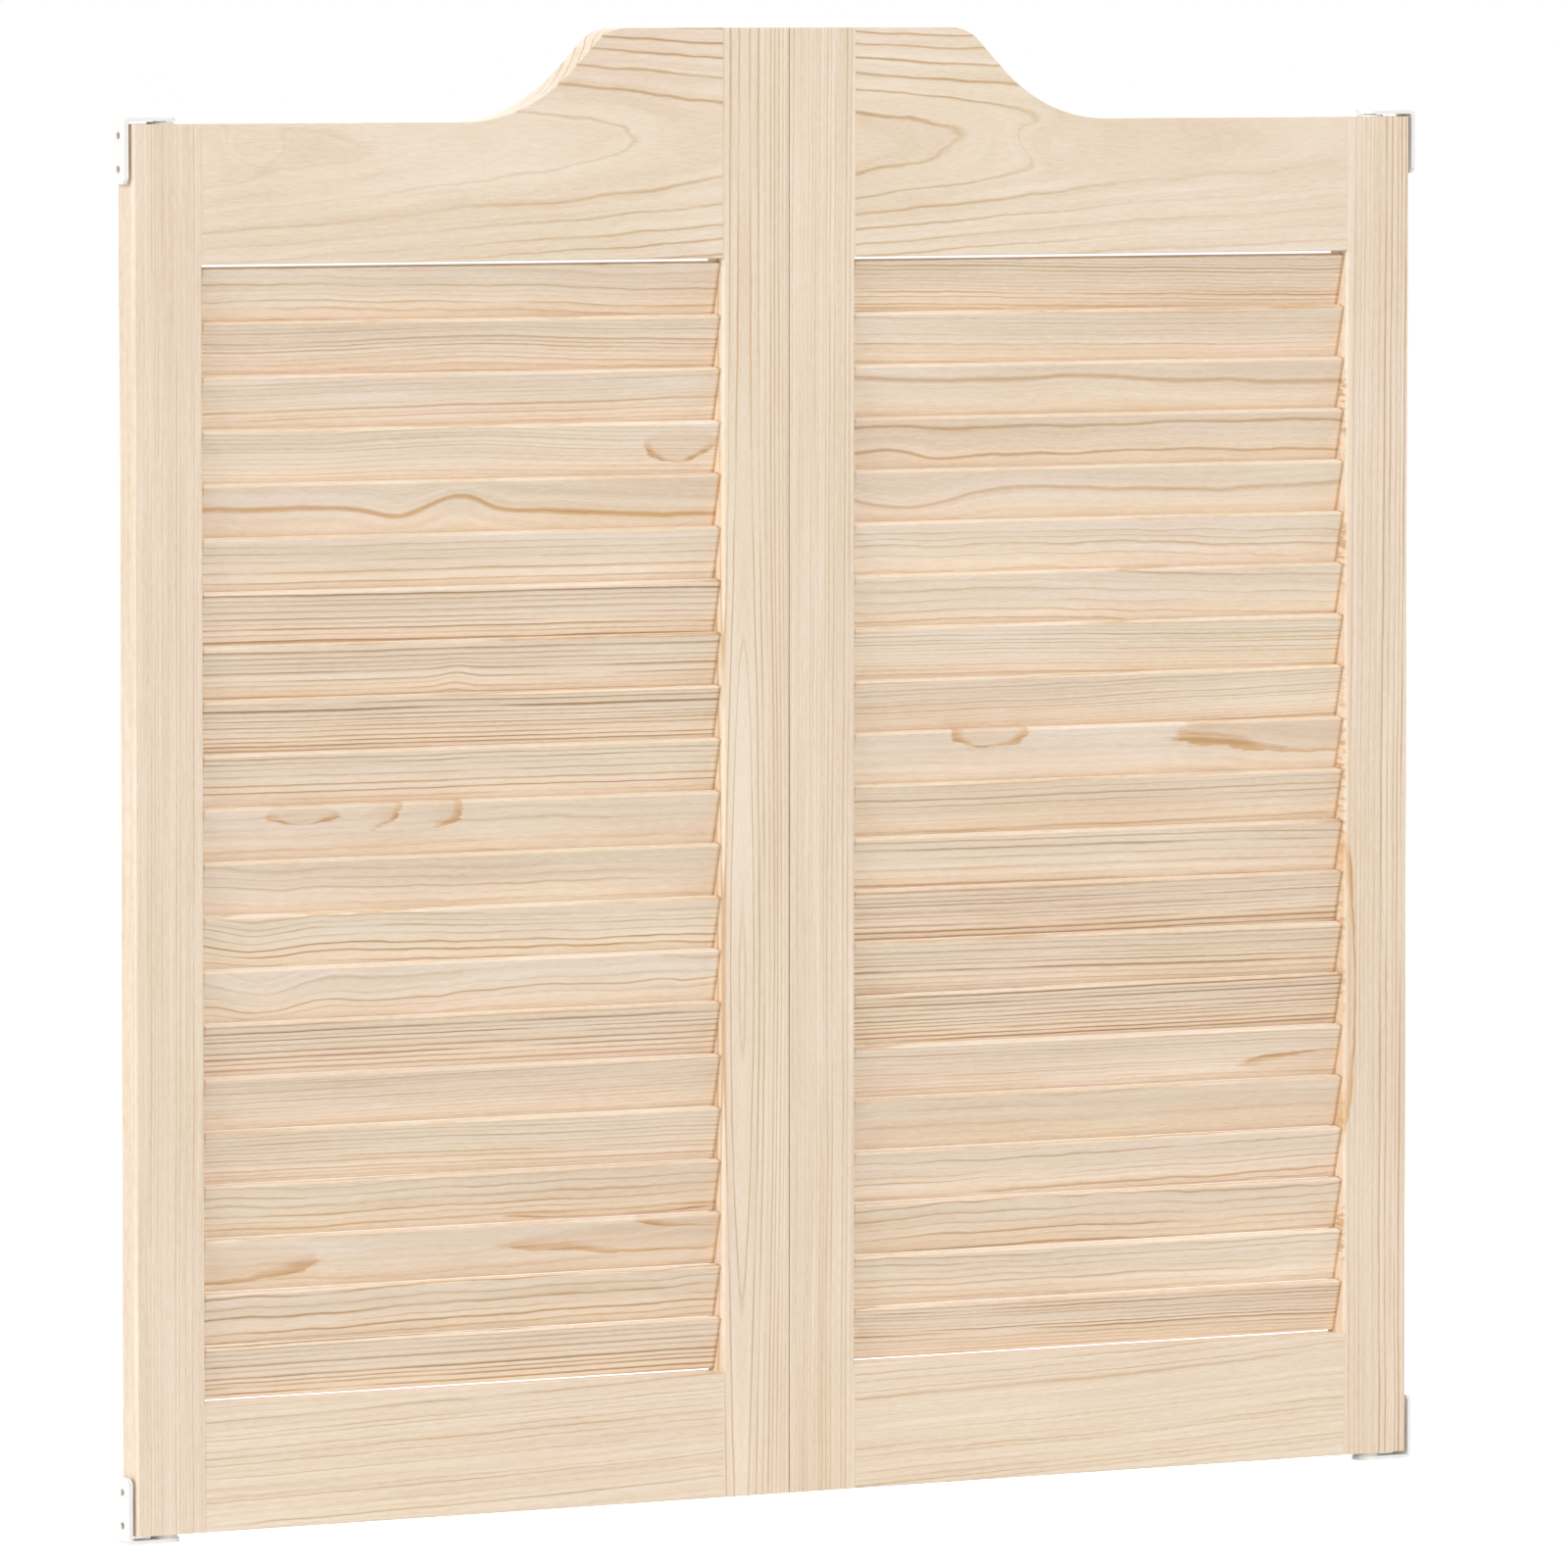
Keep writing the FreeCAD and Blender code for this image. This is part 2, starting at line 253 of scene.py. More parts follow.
def pine_wood():
    """Shader group for pine: growth rings about a drifting heart, cut by the board's faces."""
    group = bpy.data.node_groups.new("pine_wood", "ShaderNodeTree")
    for name, kind, value in PINE_VALUES:
        socket = group.interface.new_socket(name, in_out="INPUT", socket_type="NodeSocket" + kind)
        socket.default_value = value
    for name, kind in (("Color", "Color"), ("Roughness", "Float"), ("Height", "Float")):
        group.interface.new_socket(name, in_out="OUTPUT", socket_type="NodeSocket" + kind)
    given = add(group, "NodeGroupInput").outputs
    seed = given["Seed"]
    along, over, through = parts_of(group, given["Board"])

    def calc(operation, *values, clamp=False):
        return maths(group, operation, *values, clamp=clamp)

    def plus(a, b):
        return calc("ADD", a, b)

    def minus(a, b):
        return calc("SUBTRACT", a, b)

    def times(a, b):
        return calc("MULTIPLY", a, b)

    def divided(a, b):
        return calc("DIVIDE", a, b)

    def length(a, b):
        return calc("SQRT", plus(times(a, a), times(b, b)))

    def smooth(value, low, high):
        return smooth_step(group, value, low, high)

    def swing(value, reach):
        """A noise made to swing about 0, by half the reach each way."""
        return times(minus(value, 0.5), reach)

    def board_noise(scales, detail, own_seed=seed):
        """Noise on the board, with a scale for each of its directions."""
        point = add(group, "ShaderNodeVectorMath", {0: given["Board"], 1: scales},
                    operation="MULTIPLY").outputs[0]
        return noise(group, point, 1.0, detail, own_seed)

    def wandering_grain():
        """Places across and through the board, where the grain drifts slowly and wobbles."""
        drift_reach = times(given["Wave"], 3.6)
        wobble_reach = times(given["Wave"], 1.1)
        drift = board_noise((3.2, 5, 5), detail=1.5)["Color"]
        drift = add(group, "ShaderNodeSeparateColor", {0: drift}).outputs
        wobble = board_noise((24, 60, 60), detail=2.0)["Color"]
        wobble = add(group, "ShaderNodeSeparateColor", {0: wobble}).outputs
        return [plus(place, plus(swing(drift[part], drift_reach), swing(wobble[part], wobble_reach)))
                for part, place in enumerate((over, through))]

    def swelling(eye, size):
        """Lift of the rings about an eye, which dies away over its size."""
        eye_along, eye_across, eye_height = parts_of(group, given[eye])
        size_along, size_across, _ = parts_of(group, given[size])
        a = divided(minus(along, eye_along), size_along)
        b = divided(minus(over, eye_across), size_across)
        away = plus(times(a, a), times(b, b))
        return times(calc("EXPONENT", times(away, -1.0)), eye_height)

    def from_heart(across, depth):
        """Distance from the heart, and how steeply the rings meet the board's face."""
        side = minus(minus(across, given["Heart across"]), times(along, given["Lean across"]))
        deep = plus(plus(depth, given["Heart depth"]), times(along, given["Lean depth"]))
        radius = length(side, deep)
        steep = length(divided(side, radius), divided(times(deep, given["Lean depth"]), radius))
        eyes = plus(swelling("Eye", "Eye size"), swelling("Eye 2", "Eye 2 size"))
        return plus(radius, eyes), steep

    def growth_rings(distance, steep):
        """Late wood of each ring, darker towards its sharp outer edge, and the ring's number.

        The rings are of uneven width, and a line keeps its width where they lie flat.
        """
        late_end, darkest, drop_start = 0.97, 0.93, 0.85     # shares of a ring
        even = divided(distance, given["Ring"])
        uneven = add(group, "ShaderNodeTexNoise",
                     {"W": plus(times(even, 0.31), seed), "Scale": 1.0, "Detail": 1.0},
                     noise_dimensions="1D").outputs[0]
        rings = plus(even, swing(uneven, times(given["Uneven"], 1.3)))
        place = calc("FRACT", rings)
        late_share = times(given["Late wood"], plus(times(steep, 0.85), 0.15))
        rise = ramp(group, place, minus(late_end, late_share), darkest)
        late_wood = times(calc("POWER", rise, 1.5), smooth(place, 1.0, drop_start))
        return late_wood, calc("FLOOR", rings)

    def boldness(number):
        """Few rings are bold, and each fades in places along the board."""
        faintest, boldest = -0.72, 0.40
        year = add(group, "ShaderNodeTexWhiteNoise",
                   {"Vector": vector_of(group, number, seed, 0.0)},
                   noise_dimensions="3D").outputs["Value"]
        this_year = ramp(group, calc("POWER", year, 2.0), 0.0, 1.0, faintest, boldest)
        patch_point = vector_of(group, times(along, 9.0), times(number, 7.3), seed)
        patch = noise(group, patch_point, 1.0, detail=2.0)[0]
        faded = times(smooth(patch, 0.58, 0.22), given["Uneven"])
        return times(plus(times(this_year, given["Uneven"]), 1.0), minus(1.0, faded))

    def drawn_out(across_grain, depth, scales, detail):
        """Noise drawn out along the grain, with a scale along, across and through it."""
        flow = vector_of(group, times(along, scales[0]), times(across_grain, scales[1]),
                         times(depth, scales[2]))
        return noise(group, flow, 1.0, detail, seed, roughness=0.6)[0]

    def cutter_marks():
        """Torn patches on the slotted side of a stile, which look deeper."""
        mark_depth, mark_start, mark_full = 0.42, 0.0012, 0.0001
        from_side = minus(given["Half width"], times(over, given["Slot side"]))
        chatter = board_noise((420, 30, 90), detail=1.0)[0]
        torn = board_noise((22, 10, 10), detail=1.0)[0]
        marks = times(smooth(from_side, mark_start, mark_full), smooth(chatter, 0.45, 0.62))
        return times(times(marks, smooth(torn, 0.42, 0.62)), mark_depth)

    def shaded_ends():
        """Deeper colour at the ends of a slat, where its slots shade it."""
        end_depth, end_reach = 0.52, 0.0030
        from_end = minus(given["Half length"], calc("ABSOLUTE", along))
        return times(smooth(from_end, end_reach, 0.0), end_depth)

    def coloured(dark):
        """Colour of the wood, a little pink or straw over a hand's width, orange where dark."""
        colours = add(group, "ShaderNodeValToRGB", {0: dark})
        elements = colours.color_ramp.elements
        while len(elements) < len(WOOD_COLOURS):
            elements.new(1.0)
        for element, (darkness, colour) in zip(elements, WOOD_COLOURS):
            element.position = darkness
            element.color = (*colour, 1)
        hue = board_noise((4, 9, 9), detail=1.0, own_seed=plus(seed, 5.0))[0]
        tint = mixed(group, smooth(hue, 0.35, 0.65), pink_tint, straw_tint)
        wood = mixed(group, 1.0, colours.outputs[0], tint, "MULTIPLY")
        warmed = mixed(group, 1.0, wood, orange_tint, "MULTIPLY")
        return mixed(group, times(smooth(dark, 0.25, 0.7), given["Warmth"]), wood, warmed)

    def with_painted_edge_light(wood):
        """Painted light on a slat: paler towards its lower edge as painted bounce light, a little
        darker over its upper part as painted shade, and paler along its top as a painted highlight.
        """
        level, top_share = 0.17, 0.7
        lower_edge = smooth(over, 0.012, -0.015)
        top_edge = smooth(over, 0.0150, 0.0161)
        paler = times(plus(minus(lower_edge, level), times(top_edge, top_share)), given["Pale edge"])
        return add(group, "ShaderNodeVectorMath", {0: wood, "Scale": plus(1.0, paler)},
                   operation="SCALE").outputs[0]

    def with_flames(wood, thread):
        """Brown flames and knots, where one ring runs out on the face.

        Each is a band along the lower side, wide at the ends, with a ragged edge.
        """
        edge_rag, least_rag, bend_share = 0.012, 0.17, 2.4
        lower_share, upper_share, fill = 0.86, 0.14, 0.20
        ragged = board_noise((90, 700, 100), detail=3.0)[0]
        bent = board_noise((38, 90, 10), detail=2.0)[0]
        brown = mixed(group, smooth(thread, 0.40, 0.62), flame_brown, flame_dark)
        streaky = plus(times(thread, 0.9), 0.55)
        heights = parts_of(group, given["Flame heights"])
        for name, half_height in zip(("Flame", "Flame 2", "Flame 3"), heights):
            flame_along, flame_across, half_length = parts_of(group, given[name])
            a = divided(minus(along, flame_along), half_length)
            b = divided(minus(over, flame_across), half_height)
            rag = divided(edge_rag, plus(calc("ABSOLUTE", half_length), edge_rag))
            rag = calc("MAXIMUM", rag, least_rag)
            away = plus(length(a, b), swing(ragged, rag))
            away = plus(away, swing(bent, times(rag, bend_share)))
            inner = minus(0.86, times(calc("POWER", calc("ABSOLUTE", a), 1.4), 0.74))
            band = times(smooth(away, inner, 0.98), smooth(away, 1.06, 0.97))
            lower_side = plus(times(smooth(b, 0.5, -0.5), lower_share), upper_share)
            whole = calc("GREATER_THAN", half_length, 0.0)
            shown = calc("MAXIMUM", whole, smooth(a, 0.3, -0.5))
            edge = times(times(calc("POWER", band, 1.4), lower_side), times(shown, streaky))
            inside = times(times(smooth(away, 1.0, 0.85), fill), shown)
            wood = mixed(group, calc("MAXIMUM", edge, inside), wood, brown)
        return wood

    across, depth = wandering_grain()
    distance, steep = from_heart(across, depth)
    late_wood, number = growth_rings(distance, steep)
    fainter_flat = plus(times(smooth(steep, 0.0, 0.45), 0.5), 0.5)
    ring_dark = times(times(late_wood, boldness(number)), times(given["Lines"], fainter_flat))

    # Fibres, threads and streaks run with the grain, and clouds lie across it.
    fibre = drawn_out(across, depth, (140.0, 1300.0, 300.0), detail=3.0)
    thread = drawn_out(distance, depth, (7.0, 480.0, 150.0), detail=2.0)
    streak = drawn_out(distance, depth, (3.0, 150.0, 60.0), detail=2.0)
    cloud = board_noise((5, 14, 14), detail=2.0)[0]
    fine_dark = plus(swing(fibre, 0.38), swing(thread, 0.30))
    broad_dark = plus(swing(streak, 0.30), swing(cloud, 0.22))
    dark = plus(plus(ring_dark, fine_dark), broad_dark)
    dark = plus(minus(dark, given["Tone"]), plain_darkness)
    dark = plus(dark, cutter_marks())
    dark = calc("ADD", dark, shaded_ends(), clamp=True)

    wood = with_flames(with_painted_edge_light(coloured(dark)), thread)
    roughness = plus(0.56, times(fibre, 0.16))
    relief = plus(times(late_wood, 0.6), times(fibre, 0.8))
    add(group, "NodeGroupOutput", {"Color": wood, "Roughness": roughness, "Height": relief})
    return group


pine_group = pine_wood()


def pine_material(name, board, **values):
    """Pine finish.  board(tree) gives the socket with a board's own coordinates."""
    material = bpy.data.materials.new(name)
    material.use_nodes = True
    tree = material.node_tree
    tree.nodes.clear()
    wood = add(tree, "ShaderNodeGroup", node_tree=pine_group)
    tree.links.new(board(tree), wood.inputs["Board"])
    for key, value in values.items():
        socket = wood.inputs[key.replace("_", " ")]
        if callable(value):
            tree.links.new(value(tree), socket)
        else:
            socket.default_value = value
    bump = add(tree, "ShaderNodeBump",
               {"Strength": 0.25, "Distance": 0.0002, "Height": wood.outputs["Height"]})
    surface = add(tree, "ShaderNodeBsdfPrincipled",
                  {"Base Color": wood.outputs["Color"], "Roughness": wood.outputs["Roughness"],
                   "Normal": bump.outputs[0], "IOR": 1.45, "Specular IOR Level": 0.35})
    add(tree, "ShaderNodeOutputMaterial", {"Surface": surface.outputs[0]})
    return material


def from_centre(tree, centre):
    """Distances from a board's middle: along the doorway, up, and out at the front."""
    moved = add(tree, "ShaderNodeVectorMath", {0: object_place(tree), 1: centre},
                operation="SUBTRACT").outputs[0]
    x, y, z = parts_of(tree, moved)
    return x, z, maths(tree, "MULTIPLY", y, -1.0)


def upright_board(centre):
    """Board coordinates of an upright: along is up, across is along the doorway."""
    def coordinates(tree):
        sideways, up, out = from_centre(tree, centre)
        return vector_of(tree, up, sideways, out)
    return coordinates


def level_board(centre):
    """Board coordinates of a rail: along the doorway, across is up."""
    def coordinates(tree):
        return vector_of(tree, *from_centre(tree, centre))
    return coordinates


def middle_of(node):
    """Middle of a CAD node."""
    low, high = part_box(node)
    return tuple((low + high) / 2)


def dress(node, material):
    """Gives a CAD node its finish."""
    nodes[node].data.materials.clear()
    nodes[node].data.materials.append(material)


stile_boards = {}


def dress_stile(node, **board):
    """Finish of a stile.  Its board is kept for the slips of the same wood at the joints."""
    stile_boards[node] = board
    dress(node, pine_material("pine_" + node, upright_board(middle_of(node)), **board))


def bolder_outside(tree):
    """Late wood that darkens from the slats to the outer edge of the right leaf."""
    x = parts_of(tree, object_place(tree))[0]
    return ramp(tree, x, 0.404, 0.445, at_low=0.30, at_high=1.05)


dress_stile("left_hinge_stile", Seed=1.7, Ring=0.0021, Heart_across=-0.12, Heart_depth=0.05,
            Lean_across=0.004, Wave=0.0008, Lines=0.28, Late_wood=0.5, Tone=-0.02, Slot_side=1)
dress_stile("right_hinge_stile", Seed=8.3, Ring=0.0034, Heart_across=-0.07, Heart_depth=0.03,
            Lean_across=0.003, Wave=0.0012, Lines=bolder_outside, Late_wood=0.42, Tone=-0.02,
            Slot_side=-1, Flame=(-0.123, -0.0240, 0.096), Flame_heights=(-0.0090, 0.005, 0.005))


# ---- Meeting stiles ------------------------------------------------------------------------
# The inner uprights, full height, with their meeting edges left almost square.  The left one
# is a flat-sawn board, so its rings run out in long tongues; the right one is nearly straight.

dress_stile("left_meeting_stile", Seed=3.1, Ring=0.0028, Heart_across=-0.0093, Heart_depth=0.003,
            Lean_across=0.003, Wave=0.0006, Lines=0.56, Late_wood=0.58, Uneven=0.85, Tone=-0.01,
            Eye=(-0.125, -0.0093, -0.0048), Eye_size=(0.24, 0.04, 0))
dress_stile("right_meeting_stile", Seed=5.9, Ring=0.0025, Heart_across=0.09, Heart_depth=0.03,
            Lean_across=0.004, Wave=0.0010, Lines=0.36, Late_wood=0.45, Tone=-0.03, Slot_side=1)


# ---- Top rails -----------------------------------------------------------------------------
# Wide flat-sawn boards, bandsawn to the S-curve from the crest down to the shoulder and
# sanded.  A stub tenon at each end goes blind into the stile.

rail_inner_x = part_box("right_meeting_stile")[1].x      # joint with the meeting stile
rail_outer_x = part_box("right_hinge_stile")[0].x        # joint with the hinge stile
top_rail_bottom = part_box("right_top_rail")[0].z
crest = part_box("right_meeting_stile")[1].z
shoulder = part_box("right_hinge_stile")[1].z
rail_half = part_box("right_top_rail")[1].y
crest_end_x = 0.1153
brow_radius = 0.028
hollow_radius = 0.105
slope = math.radians(45)
arc_steps = 40
rail_ease = 0.0005
tenon_length = 0.015
tenon_half = 0.0035
tenon_shoulder = 0.012
merge_distance = 1e-7
rail_grain_z = 0.835       # height at which the heart's place is measured


def s_curve_points():
    """Points of the S-curve of the right leaf, from the crest's end to the shoulder."""
    points = []
    for i in range(arc_steps + 1):
        angle = slope * i / arc_steps
        points.append((crest_end_x + brow_radius * math.sin(angle),
                       crest - brow_radius * (1 - math.cos(angle))))
    drop = (brow_radius + hollow_radius) * (1 - math.cos(slope))
    straight = (crest - shoulder - drop) / math.sin(slope)
    hollow_x = points[-1][0] + straight * math.cos(slope) + hollow_radius * math.sin(slope)
    for i in range(arc_steps + 1):
        angle = slope * (1 - i / arc_steps)
        points.append((hollow_x - hollow_radius * math.sin(angle),
                       shoulder + hollow_radius * (1 - math.cos(angle))))
    return points


def facing_out(mesh):
    """Turns a closed mesh's faces outwards."""
    work = bmesh.new()
    work.from_mesh(mesh)
    bmesh.ops.remove_doubles(work, verts=work.verts, dist=merge_distance)
    bmesh.ops.recalc_face_normals(work, faces=work.faces)
    work.to_mesh(mesh)
    work.free()


def prism(name, layers):
    """Closed mesh of loops of points, each loop joined to the next and the two ends filled."""
    count = len(layers[0])
    vertices = [point for loop in layers for point in loop]
    faces = [list(range(count)), list(range((len(layers) - 1) * count, len(layers) * count))]
    for first in range(0, (len(layers) - 1) * count, count):
        for i in range(count):
            j = (i + 1) % count
            faces.append([first + i, first + count + i, first + count + j, first + j])
    mesh = bpy.data.meshes.new(name)
    mesh.from_pydata(vertices, [], faces)
    facing_out(mesh)
    return mesh


def eased_in(outline):
    """The rail's outline moved in by the easing, except along its joints with the stiles."""
    def outward(step):
        normal = np.stack([-step[:, 1], step[:, 0]], axis=1)
        return normal / np.linalg.norm(normal, axis=1, keepdims=True)

    before = outward(outline - np.roll(outline, 1, axis=0))
    after = outward(np.roll(outline, -1, axis=0) - outline)
    inset = (before + after) / (1 + (before * after).sum(axis=1, keepdims=True))
    eased = outline - inset * rail_ease
    joints = (outline[:, 0] == rail_inner_x) | (outline[:, 0] == rail_outer_x)
    eased[joints, 0] = outline[joints, 0]
    return eased


def top_rail_mesh(name, side):
    """Board on the S-curve with eased faces.  side is -1 for the left leaf."""
    outline = [(rail_inner_x, top_rail_bottom), (rail_inner_x, crest)] + s_curve_points()
    outline = np.array(outline + [(rail_outer_x, shoulder), (rail_outer_x, top_rail_bottom)])
    eased = eased_in(outline)
    layers = ((-rail_half, eased), (rail_ease - rail_half, outline),
              (rail_half - rail_ease, outline), (rail_half, eased))
    return prism(name, [[(side * x, y, z) for x, z in loop] for y, loop in layers])


def with_tenons(mesh, side):
    """Fuses the two stub tenons to the ends of the rail."""
    rail = bpy.data.objects.new("rail_blank", mesh)
    scene.collection.objects.link(rail)
    for joint_x, top in ((rail_inner_x, crest), (rail_outer_x, shoulder)):
        low_z, high_z = top_rail_bottom + tenon_shoulder, top - tenon_shoulder
        ends = [side * (joint_x + reach) for reach in (-tenon_length, tenon_length)]
        block = prism("tenon", [[(x, -tenon_half, low_z), (x, tenon_half, low_z),
                                 (x, tenon_half, high_z), (x, -tenon_half, high_z)] for x in ends])
        piece = bpy.data.objects.new("tenon", block)
        scene.collection.objects.link(piece)
        join = rail.modifiers.new("tenon", "BOOLEAN")
        join.operation = "UNION"
        join.solver = "EXACT"
        join.object = piece
    bpy.context.view_layer.update()
    done = bpy.data.meshes.new_from_object(
        rail.evaluated_get(bpy.context.evaluated_depsgraph_get()))
    for thing in [rail] + [join.object for join in rail.modifiers]:
        bpy.data.objects.remove(thing)
    return done


def rounded_look(mesh, angle):
    """Smooth shading across edges flatter than an angle."""
    mesh.shade_smooth()
    mesh.set_sharp_from_angle(angle=angle)


def bolder_inside(tree):
    """Late wood of a top rail, which darkens towards the meeting stile and upwards."""
    x, _, z = parts_of(tree, object_place(tree))
    inside = ramp(tree, maths(tree, "ABSOLUTE", x), 0.24, 0.11, at_low=0.34, at_high=1.25)
    above = ramp(tree, z, 0.80, 0.86, at_low=0.68, at_high=1.0)
    return maths(tree, "MULTIPLY", inside, above)


def on_s_curve(face):
    """True for the sawn top edge of a rail."""
    return face.normal.z > 0.5 and abs(face.normal.y) < 0.1


TOP_RAIL_BOARDS = {
    "left": dict(Seed=12.4, Heart_across=-0.002, Heart_depth=0.0551,
                 Eye=(-0.146, -0.001, 0.005), Eye_size=(0.022, 0.012, 0)),
    "right": dict(Seed=14.9, Heart_across=0.000, Heart_depth=0.0504,
                  Eye=(-0.038, 0.0, 0.006), Eye_size=(0.035, 0.014, 0)),
}
for side, word in ((-1, "left"), (1, "right")):
    mesh = with_tenons(top_rail_mesh("rail_blank", side), side)
    mesh.name = word + "_top_rail_board"
    rounded_look(mesh, math.radians(25))
    rail = bpy.data.objects.new(word + "_top_rail_board", mesh)
    scene.collection.objects.link(rail)
    board = level_board((middle_of(word + "_top_rail")[0], 0, rail_grain_z))
    values = dict(TOP_RAIL_BOARDS[word], Ring=0.0063, Lean_across=0.01, Lean_depth=0.04,
                  Wave=0.0030, Lines=bolder_inside, Late_wood=0.34, Uneven=0.4, Warmth=0.35)
    mesh.materials.clear()
    mesh.materials.append(pine_material("pine_%s_top_rail" % word, board, Tone=-0.03, **values))
    # The upward faces along the S-curve get a paler copy of the rail's wood than its other faces: a
    # painted highlight.
    mesh.materials.append(pine_material("pine_%s_s_curve" % word, board, Tone=0.03, **values))
    for face in mesh.polygons:
        if on_s_curve(face):
            face.material_index = 1
    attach(rail, word + "_leaf")
    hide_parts(word + "_top_rail")


# ---- Bottom rails --------------------------------------------------------------------------
# Plain boards between the stiles, tenoned like the top rails.  Close even rings rise gently
# to the right.

for node, seed in (("left_bottom_rail", 21.3), ("right_bottom_rail", 23.8)):
    finish = pine_material("pine_" + node, level_board(middle_of(node)), Seed=seed, Ring=0.0036,
                           Heart_across=0.16, Heart_depth=0.04, Lean_across=0.035, Wave=0.0026,
                           Lines=0.42, Late_wood=0.42, Tone=-0.02)
    dress(node, finish)


# ---- Slips at the joints -------------------------------------------------------------------
# The stiles and rails are glued up and sanded flush, so the stiles' rounding stops where a rail
# meets them.  A slip of the stile's own wood fills it there, on both faces, up to a hairline.

stile_arris = 0.002
let_in = 0.97 * stile_arris
hairline = 0.00015
slip_steps = 8
leaf_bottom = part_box("left_meeting_stile")[0].z
bottom_rail_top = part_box("left_bottom_rail")[1].z


def slip_section(joint_x, towards, face):
    """Section of a slip: flat on the face, and let into the stile's rounding."""
    centre_x = joint_x + towards * stile_arris
    centre_y = face * (rail_half - stile_arris)
    points = [(joint_x, face * (rail_half - hairline))]
    for i in range(slip_steps + 1):
        angle = math.pi / 2 * i / slip_steps
        points.append((centre_x - towards * let_in * math.cos(angle),
                       centre_y + face * let_in * math.sin(angle)))
    return points + [(centre_x, face * rail_half), (joint_x + towards * hairline, face * rail_half)]


def slips_of(joint_x, towards, top):
    """One mesh of the four slips along a stile, at its top and bottom rails on both faces."""
    work = bmesh.new()
    for face in (-1, 1):
        section = slip_section(joint_x, towards, face)
        for heights in ((leaf_bottom, bottom_rail_top), (top_rail_bottom, top)):
            slip = prism("slip", [[(x, y, z) for x, y in section] for z in heights])
            work.from_mesh(slip)
            bpy.data.meshes.remove(slip)
    mesh = bpy.data.meshes.new("slips")
    work.to_mesh(mesh)
    work.free()
    return mesh


for side, word in ((-1, "left"), (1, "right")):
    for kind, joint_x, towards, top in (("meeting", rail_inner_x, -1, crest),
                                        ("hinge", rail_outer_x, 1, shoulder)):
        stile = "%s_%s_stile" % (word, kind)
        slips = bpy.data.objects.new("%s_%s_slips" % (word, kind),
                                     slips_of(side * joint_x, side * towards, top))
        scene.collection.objects.link(slips)
        values = dict(stile_boards[stile], Slot_side=0.0)
        slips.data.materials.append(
            pine_material("pine_" + slips.name, upright_board(middle_of(stile)), **values))
        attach(slips, word + "_leaf")


# ---- Slats ---------------------------------------------------------------------------------
# Twenty-one thin pine slats in each leaf, tilted with their top edges forward and housed at
# both ends in the stiles.  They come from odd boards, so no two have the same grain.

slat_count = 21
slat_thickness = 0.006
slat_width = 0.03265
slat_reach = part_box("right_slat_01")[1].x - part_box("right_slat_01")[0].x
slat_edge = 0.0008
slat_edge_steps = 4
slat_tilt = math.radians(16)
slat_seen_half = 0.1785        # half of what shows between the stiles
mm = 0.001


def louvre_tree():
    """Geometry of a stack of tilted slats, with named sizes."""
    tree = bpy.data.node_groups.new("louvre", "GeometryNodeTree")
    for name, kind in (("Length", "Float"), ("Thickness", "Float"), ("Width", "Float"),
                       ("Edge", "Float"), ("Count", "Int"), ("Pitch", "Float"), ("Tilt", "Float"),
                       ("Top slat", "Vector"), ("Finish", "Material")):
        tree.interface.new_socket(name, in_out="INPUT", socket_type="NodeSocket" + kind)
    tree.interface.new_socket("Slats", in_out="OUTPUT", socket_type="NodeSocketGeometry")
    given = add(tree, "NodeGroupInput").outputs

    # One slat: a section with eased edges, drawn along its length.
    section = add(tree, "GeometryNodeCurvePrimitiveQuadrilateral",
                  {"Width": given["Thickness"], "Height": given["Width"]})
    eased = add(tree, "GeometryNodeFilletCurve",
                {"Curve": section.outputs[0], "Radius": given["Edge"], "Count": slat_edge_steps},
                mode="POLY")
    half_length = maths(tree, "DIVIDE", given["Length"], 2.0)
    start = vector_of(tree, maths(tree, "MULTIPLY", half_length, -1.0), 0.0, 0.0)
    end = vector_of(tree, half_length, 0.0, 0.0)
    run = add(tree, "GeometryNodeCurvePrimitiveLine", {"Start": start, "End": end})
    bar = add(tree, "GeometryNodeCurveToMesh",
              {"Curve": run.outputs[0], "Profile Curve": eased.outputs[0], "Fill Caps": True})

    # Its board coordinates are kept on it before it is tilted.
    x, y, z = parts_of(tree, add(tree, "GeometryNodeInputPosition").outputs[0])
    board = vector_of(tree, x, z, maths(tree, "MULTIPLY", y, -1.0))
    marked = add(tree, "GeometryNodeStoreNamedAttribute",
                 {"Geometry": bar.outputs[0], "Name": "board", "Value": board},
                 data_type="FLOAT_VECTOR", domain="POINT")

    # The stack goes down from the top slat, and each slat keeps its number.
    step = vector_of(tree, 0.0, 0.0, maths(tree, "MULTIPLY", given["Pitch"], -1.0))
    stack = add(tree, "GeometryNodeMeshLine",
                {"Count": given["Count"], "Start Location": given["Top slat"], "Offset": step},
                mode="OFFSET")
    copies = add(tree, "GeometryNodeInstanceOnPoints",
                 {"Points": stack.outputs[0], "Instance": marked.outputs[0],
                  "Rotation": vector_of(tree, given["Tilt"], 0.0, 0.0)})
    index = add(tree, "GeometryNodeInputIndex")
    numbered = add(tree, "GeometryNodeStoreNamedAttribute",
                   {"Geometry": copies.outputs[0], "Name": "slat", "Value": index.outputs[0]},
                   data_type="INT", domain="INSTANCE")
    real = add(tree, "GeometryNodeRealizeInstances", {0: numbered.outputs[0]})
    done = add(tree, "GeometryNodeSetMaterial",
               {"Geometry": real.outputs[0], "Material": given["Finish"]})
    add(tree, "NodeGroupOutput", {"Slats": done.outputs[0]})
    return tree


def read(name, part=None):
    """A vector kept on the slats themselves, or one part of it."""
    def value(tree):
        vector = add(tree, "ShaderNodeAttribute", attribute_name=name).outputs["Vector"]
        return vector if part is None else parts_of(tree, vector)[part]
    return value
